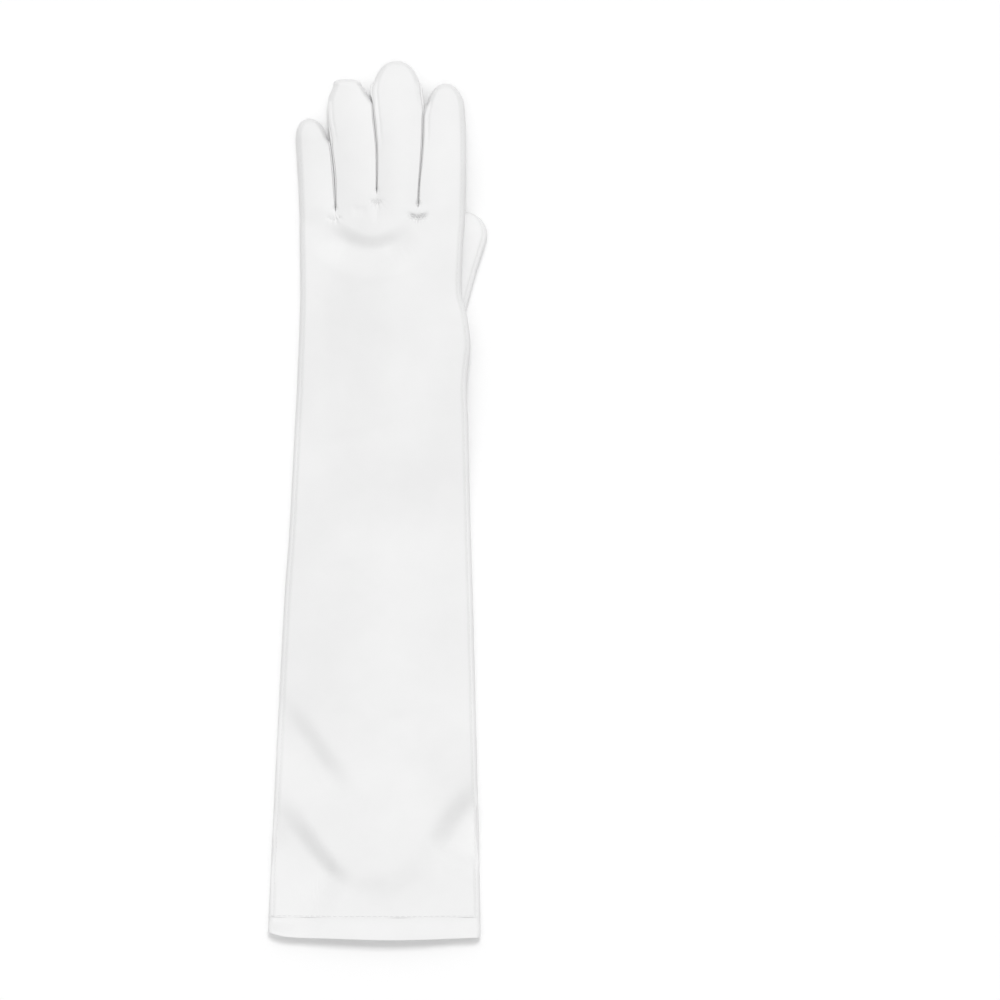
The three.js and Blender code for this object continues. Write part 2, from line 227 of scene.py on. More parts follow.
# The seam that runs just inside the outline
SEAM_INSET = 2.1
SEAM_HALF = 0.4
SEAM_DEPTH = 0.55
SEAM_FADES = 5  # half the width of a finger where the seam starts to fade
SEAM_APPEARS = (178, 192)  # where it starts to show on a side that has a slit

# The lower edge of the hem
HEM_EDGE = [(-56, -220.6), (-46, -223.2), (-24, -224), (11, -224.8), (53.5, -223.7)]
HEM_ROWS = 26
HEM_SHARP_EDGE = 0.006  # from each edge to the row that keeps it sharp, as a share of the height
HEM_ROWS_FROM = 0.04
HEM_PARTING = 0.03
HEM_PARTED = [(-34.5, 5), (12, 4.5), (-50, 3), (47, 4)]  # the middle and half length of each open part
HEM_PARTED_BY = 0.14
HEM_OVERLAP = 1.2  # how far the hem reaches under the sleeve's edge
HEM_TUCK = 0.75
HEM_PROUD = 0.05
HEM_UPPER = 3  # points above this height are on the upper layer
HEM_CURLS = [(2.6, (-34, -52)), (1.6, (36, 50))]  # how far the lower edge turns up, and between which x
HEM_FLARE = 1.2
HEM_CURL_TOP = 0.9  # the share of the hem's height over which it turns up
HEM_WIDENING = 0.003
HEM_AROUND = {"top": 70, "bottom": 50, "corner": 9}
LOWEST = 0.05  # the height of the lowest points of the hem and the thumb

# Stitches
HEM_STITCH = {"pitch": 2.9, "length": 2.1, "radius": 0.17, "margin": 2.2, "above_seam": 0.7,
              "rise": 0.02, "lower_row": 0.2, "slant": 0.03}
SIDE_STITCH = {"pitch": 2.4, "length": 1.3, "radius": 0.09, "margin": 3, "rise": 0.04}
GATHER_STITCH = {"length": 0.8, "radius": 0.14, "rise": 0.12}
STITCH_SIDES = 6
STITCH_RINGS = ((-0.5, 0.35), (-0.36, 0.85), (0, 1), (0.36, 0.85), (0.5, 0.35))

# Woven cloth
WAVE_FACTOR = 20  # Blender multiplies the scale of a wave texture by this
CROSS_THREADS = 1.2  # how much finer the threads across are

# Floor, camera and light, in metres
FLOOR_HALF = 3.0
FLOOR_LEVEL = -0.0002
FLOOR_TONES = (0.945, 0.955)
FRAME_WIDTH = 0.512
FRAME_CENTRE = (0.0632, 0.0)
GLOVE_SURFACE = 0.005
CAMERA_HEIGHT = 2.4  # above the glove's surface
SENSOR = 36
DOME_TOP = 0.97  # the strength of the light from straight above
DOME_SIDES = 0.25
KEY_TOWARDS = (-0.06, -0.45, -1)
KEY_SPREAD = 16
KEY_STRENGTH = 1.15


def ease(t):
    """From 0 to 1, slow at both ends."""
    held = np.clip(t, 0, 1)
    return held * held * (3 - 2 * held)


def ramp(ends, at):
    """0 at the first end, 1 at the second and eased between them."""
    return ease((at - ends[0]) / (ends[1] - ends[0]))


def through_points(points, at):
    """A smooth curve through (key, value) points."""
    keys = np.array([p[0] for p in points], float)
    values = np.array([p[1] for p in points], float)
    slopes = np.gradient(values, keys)
    slopes[1:-1] = (values[2:] - values[:-2]) / (keys[2:] - keys[:-2])
    at = np.clip(np.asarray(at, float), keys[0], keys[-1])
    i = np.clip(np.searchsorted(keys, at, side="right") - 1, 0, len(keys) - 2)
    span = keys[i + 1] - keys[i]
    t = (at - keys[i]) / span
    bend = t * (1 - t) * span * ((1 - t) * slopes[i] - t * slopes[i + 1])
    return values[i] + (values[i + 1] - values[i]) * ease(t) + bend


def trank(name, y):
    """A measure of the sleeve and the hand at y."""
    column = TRANK_COLUMNS.index(name)
    return through_points([(row[0], row[column]) for row in TRANK], y)


def lift(x, y):
    """How far the thumb under the cloth raises it."""
    return LIFT * ramp(LIFT_ACROSS, x) * ramp(LIFT_HEEL, y) * ramp(LIFT_FINGERS, y)


def smooth_line(points):
    """The points of a smooth curve through (x, y) points."""
    count = len(points)
    at = np.linspace(0, count - 1, FOLD_STEPS * (count - 1) + 1)
    curves = [through_points([(n, point[axis]) for n, point in enumerate(points)], at) for axis in (0, 1)]
    return np.stack(curves, axis=-1)


def fold_depth(x, y):
    """The depth of the valleys at each point."""
    depth = np.zeros(np.broadcast(x, y).shape)
    for fold in FOLDS:
        nearest = np.full(depth.shape, 1e9)
        side = np.zeros(depth.shape)
        along = np.zeros(depth.shape)
        curve = smooth_line(fold["line"])
        pieces = list(zip(curve, curve[1:]))
        for number, ((x1, y1), (x2, y2)) in enumerate(pieces):
            run = np.array([x2 - x1, y2 - y1], float)
            part = np.clip(((x - x1) * run[0] + (y - y1) * run[1]) / (run @ run), 0, 1)
            across = (x - x1 - part * run[0], y - y1 - part * run[1])
            distance = np.hypot(*across)
            closer = distance < nearest
            nearest = np.where(closer, distance, nearest)
            side = np.where(closer, across[1], side)
            along = np.where(closer, (number + part) / len(pieces), along)
        towards_fingers, towards_hem = fold["reach"]
        upper = ease(0.5 + side / (nearest + 1e-6) / 2)
        reach = towards_hem + (towards_fingers - towards_hem) * upper
        fade = FOLD_END + (1 - FOLD_END) * ease(np.minimum(along, 1 - along) / FOLD_FADE)
        depth += fold["depth"] * fade * ease(1 - nearest / reach)
    return depth


def gather_height(x, y):
    """Small wrinkles in an arc below each web, and the valley that they lie in."""
    height = np.zeros(np.broadcast(x, y).shape)
    for gather in GATHERS:
        across = x - gather["x"]
        below = gather["y"] - y
        radius = np.hypot(across, below)
        angle = np.arctan2(across, below)
        from_arc = radius - gather["radius"]
        near_arc = np.exp(-((from_arc / GATHER_HALF) ** 2))
        wide_arc = np.exp(-((from_arc / (WRINKLES_HALF * GATHER_HALF)) ** 2))
        end = gather["half_angle"] * GATHER_END
        held = ease(GATHER_FADE - GATHER_FADE * np.abs(angle) / end)
        waves = np.cos(angle * gather["wrinkles"] * math.pi / gather["half_angle"])
        height -= gather["depth"] * near_arc * held
        height += gather["rise"] * waves * wide_arc * held
    return height


def soft_unevenness(x, y):
    """Long, low waves, as in cloth that was smoothed by hand, up to 0.2 mm high."""
    broad = 0.12 * np.sin(x / 13 + 0.9 * np.sin(y / 47)) * np.sin(y / 31 + 1.1)
    slanting = 0.08 * np.sin(x / 7.3 + y / 19 + 2) * np.sin(y / 23 - x / 29)
    return broad + slanting


def rounded(distance, radius):
    """0 at an edge, rising as a quarter circle to 1 at radius from it."""
    part = np.clip(distance / radius, 0, 1)
    return np.sqrt(np.clip(1 - (1 - part) ** 2, 0, 1))


NAMES = list(FINGERS)
WEBS = [FINGERS[name]["right"][0] for name in NAMES[:-1]]


def part_line(slit, y):
    """The line down the glove that divides two fingers' columns, as far as their web."""
    web_y, web_x = WEBS[slit]
    left, right = trank("left", KNUCKLES), trank("right", KNUCKLES)
    share = (web_x - left) / (right - left)
    low = trank("left", y) + share * (trank("right", y) - trank("left", y))
    return low + (web_x - low) * ease((y - HAND_START) / (web_y - HAND_START))


def slit_number(number, side):
    """The number of the slit on that side of a finger, or None on the glove's outline."""
    slit = number - 1 if side == "left" else number
    return slit if 0 <= slit < len(WEBS) else None


def above_web(number, side, y):
    """0 on the glove's outline and below the web, and 1 above it."""
    slit = slit_number(number, side)
    if slit is None:
        return np.zeros_like(y)
    return ease((y - WEBS[slit][0]) / WEB_BLEND)


def beside_slit(number, side, y):
    """0 on the glove's outline, below the web and where the fingers part, and 1 along a slit."""
    slit = slit_number(number, side)
    if slit is None:
        return np.zeros_like(y)
    shorter = min(FINGERS[name]["tip"][1] for name in NAMES[slit:slit + 2])
    return above_web(number, side, y) * ease((shorter - SLIT_OPENS - y) / SLIT_FADE)


def finger_edge(number, side, y):
    """The outline of a finger's columns on one side, from the hem to the start of the tip."""
    own = through_points(FINGERS[NAMES[number]][side], y)
    slit = slit_number(number, side)
    if slit is None:
        blend = ease((y - KNUCKLES) / KNUCKLE_BLEND)
        return trank(side, y) * (1 - blend) + own * blend
    if side == "left":
        other = through_points(FINGERS[NAMES[number - 1]]["right"], y)
    else:
        other = through_points(FINGERS[NAMES[number + 1]]["left"], y)
    closed = own + SLIT_CLOSING * beside_slit(number, side, y) * (other - own)
    return np.where(y < WEBS[slit][0], part_line(slit, y), closed)


def strip_share(number, y):
    """1 where a strip joins the finger's two layers, and 0 near the tip."""
    tip_y = FINGERS[NAMES[number]]["tip"][1]
    return ease((tip_y - STRIP_END - y) / STRIP_FADE)


def finger_rows(number):
    """The places of the rows, from the hem to the fingertip."""
    finger = FINGERS[NAMES[number]]
    tip_y = finger["tip"][1]
    start = tip_y - finger["round"]
    straight_rows = max(int((start - FINGER_ROWS_START) / ROW_PITCH), 2)
    hem = [HEM_TOP, HEM_TOP + SHARP_EDGE]
    sleeve = np.linspace(HEM_TOP + SLEEVE_FROM, HAND_START, SLEEVE_ROWS)
    hand = np.linspace(HAND_START, KNUCKLES, HAND_ROWS)[1:]
    webs = np.linspace(KNUCKLES, FINGER_ROWS_START, WEB_ROWS)[1:]
    straight = np.linspace(FINGER_ROWS_START, start, straight_rows)[1:]
    turn = np.linspace(0, math.pi / 2, TIP_ROWS)[1:]
    return np.concatenate([hem, sleeve, hand, webs, straight, start + finger["round"] * np.sin(turn)])


def spread(count):
    """Places from 0 to 1 that are closer together at both ends."""
    u = np.linspace(0, 1, count + 1)
    return u - CROWDING * np.sin(2 * math.pi * u) / (2 * math.pi)


def finger_plan(number):
    """Where the points of one finger's columns lie, and the middle, half width and closing of each
    row. close is 1 along the finger and falls to 0 at its tip."""
    finger = FINGERS[NAMES[number]]
    tip_x, tip_y = finger["tip"]
    y = finger_rows(number)[:, None] * np.ones(finger["columns"] + 1)
    t = np.clip((y - tip_y + finger["round"]) / finger["round"], 0, 1)
    power = finger["blunt"]
    close = np.clip(1 - t**power, 0, 1) ** (1 / power)
    left = finger_edge(number, "left", y)
    right = finger_edge(number, "right", y)
    middle = (left + right) / 2 * (1 - t) + tip_x * t
    half = (right - left) / 2 * close
    x = middle + half * (2 * spread(finger["columns"]) - 1)
    return x, y, middle, half, close


def crown_height(x, y, middle, half):
    """How far the upper layer stands above its sides: the hand's crown and then the finger's."""
    hand_half = (trank("right", y) - trank("left", y)) / 2 - trank("corner", y)
    hand_middle = (trank("right", y) + trank("left", y)) / 2
    hand_crown = trank("crown", y) * (1 - np.clip((x - hand_middle) / hand_half, -1, 1) ** 2)
    across = np.clip((x - middle) / np.maximum(half, LEAST_HALF), -1, 1)
    finger_crown = FINGER_CROWN * (1 - across**2)
    blend = ease((y - KNUCKLES) / CROWN_BLEND)
    return hand_crown * (1 - blend) + finger_crown * blend


def finger_grid(number):
    """Plan and heights of one finger's columns in both layers, with the sleeve below them."""
    x, y, middle, half, close = finger_plan(number)
    squeeze = TIP_THICKNESS + (1 - TIP_THICKNESS) * close
    side = trank("side", y)
    rise = side * (1 - squeeze) / 2
    crown = crown_height(x, y, middle, half)
    raised = lift(x, y)
    seam = side / 2 + raised
    top = rise + (side + crown) * squeeze + raised
    bottom = rise + raised
    top = top - fold_depth(x, y) + gather_height(x, y) + soft_unevenness(x, y) * squeeze

    # At the outline each layer rounds down to the seam, and at a slit to the edge of the strip.
    corner = trank("corner", y)
    share = strip_share(number, y)
    distances = {"left": x - (middle - half), "right": middle + half - x}
    for name, distance in distances.items():
        on_outline = slit_number(number, name) is None
        slit = beside_slit(number, name, y)
        free = above_web(number, name, y)
        outer = np.ones_like(y) if on_outline else free
        ledge = STRIP_HEIGHT / 2 * free * share
        slit_corner = SLIT_TIP_CORNER + (SLIT_CORNER - SLIT_TIP_CORNER) * share
        radius = corner + (slit_corner - corner) * slit
        slope = CORNER_SLOPE * (1 - slit)
        rise_in = (1 - slope) * rounded(distance, radius) + slope * np.clip(distance / radius, 0, 1)
        fall = 1 - rise_in
        top = top - outer * fall * np.maximum(top - seam - ledge, 0)
        bottom = bottom + outer * fall * np.maximum(seam - ledge - bottom, 0)
        if name == "left" or number == len(NAMES) - 1:
            seen = np.ones_like(y) if on_outline else ramp(SEAM_APPEARS, y)
            line = np.exp(-(((distance - SEAM_INSET) / SEAM_HALF) ** 2))
            line = line * np.clip(half / SEAM_FADES, 0, 1)
            top = top - SEAM_DEPTH * seen * line

    # At the fingertip the two layers meet in the seam.
    tip_fall = 1 - rounded(FINGERS[NAMES[number]]["tip"][1] - y, TIP_CORNER)
    top = top - tip_fall * (top - seam)
    bottom = bottom + tip_fall * (seam - bottom)
    return {"x": x, "y": y, "top": top, "bottom": bottom}


GRIDS = [finger_grid(number) for number in range(len(NAMES))]


def new_object(name, vertices, faces):
    """A smooth mesh from points in millimetres, with coinciding points merged."""
    mesh = bpy.data.meshes.new(name)
    mesh.from_pydata((np.asarray(vertices) * MM).tolist(), [], faces)
    work = bmesh.new()
    work.from_mesh(mesh)
    bmesh.ops.remove_doubles(work, verts=work.verts, dist=MERGED_WITHIN * MM)
    bmesh.ops.dissolve_degenerate(work, edges=work.edges, dist=SHORTEST_EDGE * MM)
    for face in work.faces:
        face.smooth = True
    work.to_mesh(mesh)
    work.free()
    piece = bpy.data.objects.new(name, mesh)
    bpy.context.scene.collection.objects.link(piece)
    return piece


def grid_faces(rows, columns, start=0, flip=False, closed=False):
    """Quads of a grid of points. closed joins the last column to the first."""
    faces = []
    for r in range(rows - 1):
        for c in range(columns if closed else columns - 1):
            d = (c + 1) % columns
            a, b = start + r * columns + c, start + r * columns + d
            quad = (a, b, b + columns, a + columns)
            faces.append(quad[::-1] if flip else quad)
    return faces


def make_panel(name, layer):
    """One layer of the glove, of the four fingers' columns joined side by side."""
    vertices = []
    faces = []
    for grid in GRIDS:
        rows, columns = grid["x"].shape
        faces += grid_faces(rows, columns, len(vertices), flip=layer == "bottom")
        points = np.stack([grid["x"], grid["y"], grid[layer]], axis=-1)
        vertices += points.reshape(-1, 3).tolist()
    return new_object(name, vertices, faces)


def thumb_frame():
    """The thumb's direction, the direction across it and its length."""
    axis = THUMB_TIP - THUMB_REAR
    length = float(np.hypot(*axis))
    axis = axis / length
    return axis, np.array([axis[1], -axis[0]]), length


def hole_place(x, y):
    """Where a point is in the thumbhole: under 1 is inside it."""
    axis, across, _ = thumb_frame()
    centre = THUMB_REAR + axis * THUMBHOLE["from_rear"]
    along = (x - centre[0]) * axis[0] + (y - centre[1]) * axis[1]
    beside = (x - centre[0]) * across[0] + (y - centre[1]) * across[1]
    return math.hypot(along / THUMBHOLE["half_length"], beside / THUMBHOLE["half_width"])


def open_thumbhole(piece, lowest, collar=None):
    """Takes out the faces at the thumbhole that are above lowest, and makes its edge an oval. Where
    collar is given, a wall on that edge reaches up to it."""
    axis, _, _ = thumb_frame()
    centre = THUMB_REAR + axis * THUMBHOLE["from_rear"]
    work = bmesh.new()
    work.from_mesh(piece.data)
    inside = []
    for face in work.faces:
        middle = face.calc_center_median() / MM
        if middle.z > lowest and hole_place(middle.x, middle.y) < 1:
            inside.append(face)
    touched = {v for f in inside for v in f.verts}
    bmesh.ops.delete(work, geom=inside, context="FACES")
    edge = [e for e in work.edges if e.is_boundary and all(v in touched for v in e.verts)]
    for vertex in {v for e in edge for v in e.verts}:
        x, y = vertex.co.x / MM, vertex.co.y / MM
        place = hole_place(x, y)
        vertex.co.x = (centre[0] + (x - centre[0]) / place) * MM
        vertex.co.y = (centre[1] + (y - centre[1]) / place) * MM
    if collar is not None:
        raised = {}
        for item in edge:
            start = item.link_loops[0].vert
            end = item.other_vert(start)
            for vertex in (start, end):
                if vertex not in raised:
                    raised[vertex] = work.verts.new((vertex.co.x, vertex.co.y, collar * MM))
            wall = work.faces.new((end, start, raised[start], raised[end]))
            wall.smooth = True
        bmesh.ops.recalc_face_normals(work, faces=work.faces)
    work.to_mesh(piece.data)
    work.free()


def section(half, side, corner, crown, counts):
    """A flattened tube's outline: the places across it and the heights. The points start at the
    left of the underside and go anticlockwise, as seen from the hem."""
    reach = half - corner
    turn = np.linspace(0, math.pi, 2 * counts["corner"] + 1)
    up = side / 2 * (1 - np.cos(turn))
    out = corner * np.sin(turn)
    flat = reach * np.linspace(-1, 1, counts["bottom"] + 1)[1:-1]
    over = reach * np.linspace(1, -1, counts["top"] + 1)[1:-1]
    xs = np.concatenate([flat, reach + out, over, (-reach - out)[::-1]])
    top = side + crown * (1 - (over / reach) ** 2)
    zs = np.concatenate([flat * 0, up, top, up[::-1]])
    return xs, zs


def make_thumb():
    """The thumb, flattened where it lies, with its mouth in the palm and a seam along one side."""
    axis, across, length = thumb_frame()
    turn = np.linspace(0, math.pi / 2, THUMB_END_ROWS)
    rear = THUMB_REAR_ROUND * (1 - np.sin(turn[::-1]))
    tip = length - THUMB_TIP_ROUND + THUMB_TIP_ROUND * np.sin(turn)
    straight = np.linspace(THUMB_REAR_ROUND, length - THUMB_TIP_ROUND, THUMB_ROWS)[1:-1]
    places = np.concatenate([rear, straight, tip])
    vertices = []
    for place in places:
        from_end = max((THUMB_REAR_ROUND - place) / THUMB_REAR_ROUND,
                       (place - length + THUMB_TIP_ROUND) / THUMB_TIP_ROUND, 0)
        close = math.sqrt(max(1 - from_end**2, 0))
        half = max(float(through_points(THUMB_WIDTHS, place)) * close, THUMB_LEAST_HALF)
        side = THUMB_SIDE * (THUMB_END_SIDE + (1 - THUMB_END_SIDE) * math.sqrt(close))
        corner = min(THUMB_CORNER, half * THUMB_FLATTEST)
        xs, zs = section(half, side, corner, THUMB_CROWN * close, THUMB_AROUND)
        zs = zs + (THUMB_SIDE - side) * THUMB_END_RISE
        inset = half - xs
        groove = np.exp(-(((inset - SEAM_INSET) / SEAM_HALF) ** 2)) * (zs > side * THUMB_SEAM_FROM)
        zs = zs - THUMB_SEAM_DEPTH * groove * close
        uneven = THUMB_UNEVENNESS * np.sin(place / 6.5 + xs / 9)
        zs = zs - uneven * (zs > side * THUMB_UNEVEN_FROM) * close
        for x, z in zip(xs, zs):
            spot = THUMB_REAR + axis * place + across * x
            vertices.append((spot[0], spot[1], max(z, LOWEST)))
    columns = len(xs)
    faces = grid_faces(len(places), columns, flip=True, closed=True)
    thumb = new_object("thumb_cloth", vertices, faces)
    open_thumbhole(thumb, THUMB_SIDE / 2, collar=LIFT + CLOTH)
    return thumb


def make_strip(name, near, far):
    """The strip of cloth round a slit: down one finger's side to the web and up the next one's."""
    heights = np.linspace(0, 1, STRIP_COLUMNS) ** STRIP_CROWDING
    crest = np.sin(math.pi * heights**STRIP_CREST) ** STRIP_BLUNTNESS
    path = []
    for number, side, sign in ((NAMES.index(near), "right", -1), (NAMES.index(far), "left", 1)):
        grid = GRIDS[number]
        column = -1 if side == "right" else 0
        web_y = FINGERS[NAMES[number]][side][0][0]
        y = grid["y"][:, column]
        opening = grid["top"][:, column] - grid["bottom"][:, column]
        rows = np.flatnonzero((y > web_y + ABOVE_WEB) & (opening > SEAM_GAP))
        rows = np.append(rows, rows[-1] + 1)
        if side == "right":
            rows = rows[::-1]
        for row in rows:
            place = [grid[key][row, column] for key in ("x", "y", "bottom", "top")]
            path.append((*place, sign))
    vertices = []
    for x, y, low, high, sign in path:
        gap = min(SEAM_GAP, (high - low) / 4)
        open_share = float(ease((high - low) / STRIP_HEIGHT))
        low, high = low + gap, high - gap
        width = finger_edge(NAMES.index(far), "left", y) - finger_edge(NAMES.index(near), "right", y)
        room = max(min(float(width), WIDEST_SLIT) / 2 - STRIP_PARTING, 0)
        bulge = open_share * (room + STRIP_INSET) * crest - STRIP_INSET
        for share, out in zip(heights, bulge):
            vertices.append((x - sign * out, y, low + (high - low) * share))
    faces = grid_faces(len(path), len(heights))
    return new_object(name, vertices, faces)


def hem_section(y, grow):
    """The section of the sleeve at y, larger by grow."""
    left, right = float(trank("left", y)), float(trank("right", y))
    half = (right - left) / 2 + grow
    side = float(trank("side", y)) + grow
    xs, zs = section(half, side, float(trank("corner", y)), float(trank("crown", y)), HEM_AROUND)
    return xs + (left + right) / 2, zs


def make_hem():
    """The turned hem: a ring of cloth whose lower edge dips and turns up at both corners."""
    vertices = []
    even = np.linspace(HEM_ROWS_FROM, 1 - HEM_ROWS_FROM, HEM_ROWS)
    shown = [(share, 0, 0) for share in (0, HEM_SHARP_EDGE, *even, 1 - HEM_SHARP_EDGE, 1)]
    tucked = [(1, HEM_TUCK, beyond) for beyond in (0.02, 0.08, 0.4, HEM_OVERLAP)]
    levels = shown + tucked
    for share, tuck, beyond in levels:
        xs, zs = hem_section(HEM_TOP, HEM_PROUD - tuck)
        edge = through_points(HEM_EDGE, xs)
        parted = sum(np.exp(-(((xs - x) / half) ** 2)) for x, half in HEM_PARTED)
        y = edge + (HEM_TOP - HEM_PARTING - HEM_PARTED_BY * parted - edge) * share + beyond
        upper = zs > HEM_UPPER
        press = fold_depth(xs, y) - soft_unevenness(xs, y)
        curl = sum(height * ramp(ends, xs) for height, ends in HEM_CURLS)
        curl = (curl + HEM_FLARE * upper) * ease((HEM_CURL_TOP - share) / HEM_CURL_TOP)
        zs = zs - press * upper + curl
        wide = 1 + (1 - share) * HEM_WIDENING
        vertices += np.stack([xs * wide, y, np.maximum(zs, LOWEST)], axis=-1).tolist()
    faces = grid_faces(len(levels), len(xs), flip=True, closed=True)
    return new_object("hem_cloth", vertices, faces)


def thicken(piece, millimetres):
    """Gives the cloth its thickness, inwards from its outer face."""
    wall = piece.modifiers.new("cloth_thickness", "SOLIDIFY")
    wall.thickness = millimetres * MM
    wall.offset = -1
    wall.use_rim = True
    wall.use_even_offset = False


def stitches(name, rows, length, radius):
    """Short round stitches, one for each (centre, direction), as one mesh."""
    vertices = []
    faces = []
    for centre, direction in rows:
        along = np.array(direction, float) / np.linalg.norm(direction)
        across = np.cross(along, (0, 0, 1))
        across /= np.linalg.norm(across)
        up = np.cross(across, along)
        start = len(vertices)
        for place, size in STITCH_RINGS:
            for n in range(STITCH_SIDES):
                turn = 2 * math.pi * n / STITCH_SIDES
                out = across * math.cos(turn) + up * math.sin(turn)
                vertices.append(np.array(centre) + along * place * length + out * radius * size)
        faces += grid_faces(len(STITCH_RINGS), STITCH_SIDES, start, closed=True)
        faces.append(tuple(range(start + STITCH_SIDES - 1, start - 1, -1)))
        last = start + (len(STITCH_RINGS) - 1) * STITCH_SIDES
        faces.append(tuple(range(last, last + STITCH_SIDES)))
    return new_object(name, vertices, faces)


def surface_height(x, y):
    """The height of the upper layer over the sleeve and the hand."""
    side = trank("side", y)
    middle = (trank("left", y) + trank("right", y)) / 2
    half = (trank("right", y) - trank("left", y)) / 2
    corner = trank("corner", y)
    crown = trank("crown", y) * (1 - np.clip((x - middle) / (half - corner), -1, 1) ** 2)
    top = side + crown + lift(x, y) - fold_depth(x, y) + soft_unevenness(x, y)
    seam = side / 2 + lift(x, y)
    fall = 1 - rounded(half - np.abs(x - middle), corner)
    return top - fall * (top - seam)


def hem_stitches():
    """The row that closes the hem, on the upper and the lower face."""
    y = HEM_TOP + HEM_STITCH["above_seam"]
    first = trank("left", y) + HEM_STITCH["margin"]
    last = trank("right", y) - HEM_STITCH["margin"]
    step = 0.5
    rows = []
    for x in np.arange(first, last, HEM_STITCH["pitch"]):
        high = float(surface_height(x, y))
        slope = float(surface_height(x + step, y)) - high
        slant = HEM_STITCH["slant"] * math.sin(x)
        rows.append(((x, y, high + HEM_STITCH["rise"]), (step, slant, slope)))
        rows.append(((x, y, HEM_STITCH["lower_row"]), (1, 0, 0)))
    return stitches("hem_stitches", rows, HEM_STITCH["length"], HEM_STITCH["radius"])


def side_stitches():
    """Small stitches in the groove of the seam along both sides of the glove."""
    rows = []
    for number, column, sign in ((0, 0, 1), (len(NAMES) - 1, -1, -1)):
        grid = GRIDS[number]
        finger = FINGERS[NAMES[number]]
        places = []
        first = HEM_TOP + SIDE_STITCH["margin"]
        last = finger["tip"][1] - finger["round"]
        for y in np.arange(first, last, SIDE_STITCH["pitch"]):
            row = int(np.argmin(np.abs(grid["y"][:, column] - y)))
            x = grid["x"][row, column] + sign * SEAM_INSET
            height = np.interp(x, grid["x"][row], grid["top"][row]) + SIDE_STITCH["rise"]
            places.append(np.array([x, grid["y"][row, column], height]))
        for here, ahead in zip(places, places[1:]):
            rows.append((here, ahead - here))
    return stitches("side_seam_stitches", rows, SIDE_STITCH["length"], SIDE_STITCH["radius"])


def gather_stitches():
    """The thread that holds the gathers below the webs."""
    rows = []
    for gather in GATHERS:
        count = gather["wrinkles"]
        for n in range(count + 1):
            angle = gather["half_angle"] * STITCHED_SHARE * (2 * n / count - 1)
            x = gather["x"] + gather["radius"] * math.sin(angle)
            y = gather["y"] - gather["radius"] * math.cos(angle)
            z = float(surface_height(x, min(y, TRANK[-1][0]))) + float(gather_height(x, y))
            rows.append(((x, y, z + GATHER_STITCH["rise"]), (math.cos(angle), math.sin(angle), 0)))
    return stitches("gather_stitches", rows, GATHER_STITCH["length"], GATHER_STITCH["radius"])


def node(tree, kind, place, **values):
    """A shader node, with its properties and the values of its named inputs."""
    made = tree.nodes.new(kind)
    made.location = place
    for name, value in values.items():
        if name == "inputs":
            for key, number in value.items():
                made.inputs[key].default_value = number
        else:
            setattr(made, name, value)
    return made


def make_material(name, dark, light, roughness, sheen, weave_pitch, weave_height):
    """Woven cloth: uneven colour and gloss, a fine weave and faint creases. The weave's pitch and
    height are in millimetres."""
    material = bpy.data.materials.new(name)
    material.use_nodes = True
    tree = material.node_tree
    link = tree.links.new
    shader = tree.nodes["Principled BSDF"]
    shader.inputs["Sheen Weight"].default_value = sheen
    shader.inputs["Sheen Roughness"].default_value = 0.45
    shader.inputs["Specular IOR Level"].default_value = 0.3
    place = node(tree, "ShaderNodeTexCoord", (-1100, 0)).outputs["Object"]

    clouds = node(tree, "ShaderNodeTexNoise", (-900, 300),
                  inputs={"Scale": 24, "Detail": 4, "Roughness": 0.55})
    link(place, clouds.inputs["Vector"])
    colour = node(tree, "ShaderNodeValToRGB", (-600, 300))
    colour.color_ramp.elements[0].position = 0.3
    colour.color_ramp.elements[0].color = (*dark, 1)
    colour.color_ramp.elements[1].position = 0.7
    colour.color_ramp.elements[1].color = (*light, 1)
    link(clouds.outputs["Fac"], colour.inputs["Fac"])
    link(colour.outputs["Color"], shader.inputs["Base Color"])

    gloss = node(tree, "ShaderNodeMapRange", (-600, 60),
                 inputs={"To Min": roughness[0], "To Max": roughness[1]})
    link(clouds.outputs["Fac"], gloss.inputs["Value"])
    link(gloss.outputs["Result"], shader.inputs["Roughness"])

    scale = 2 * math.pi / (WAVE_FACTOR * weave_pitch * MM)
    threads = []
    for number, direction in enumerate(("X", "Y")):
        wave = node(tree, "ShaderNodeTexWave", (-900, -200 - 260 * number), bands_direction=direction,
                    inputs={"Scale": scale * (1 + CROSS_THREADS * number), "Distortion": 0.6})
        link(place, wave.inputs["Vector"])
        threads.append(wave.outputs["Fac"])
    weave = node(tree, "ShaderNodeMath", (-650, -300), operation="ADD")
    link(threads[0], weave.inputs[0])
    link(threads[1], weave.inputs[1])
    fine = node(tree, "ShaderNodeBump", (-400, -300),
                inputs={"Strength": 0.25, "Distance": weave_height * MM})
    link(weave.outputs["Value"], fine.inputs["Height"])

    creases = node(tree, "ShaderNodeTexNoise", (-650, -560),
                   inputs={"Scale": 55, "Detail": 5, "Roughness": 0.5, "Distortion": 0.4})
    link(place, creases.inputs["Vector"])
    broad = node(tree, "ShaderNodeBump", (-200, -400), inputs={"Strength": 0.35, "Distance": 0.25 * MM})
    link(creases.outputs["Fac"], broad.inputs["Height"])
    link(fine.outputs["Normal"], broad.inputs["Normal"])
    link(broad.outputs["Normal"], shader.inputs["Normal"])
    return material


def settle(piece, material, slot, *nodes):
    """Gives a piece its material and body, and hides the CAD nodes that it stands for. slot is not used.
    """
    piece.data.materials.append(material)
    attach(piece, "root")
    if nodes:
        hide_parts(*nodes)


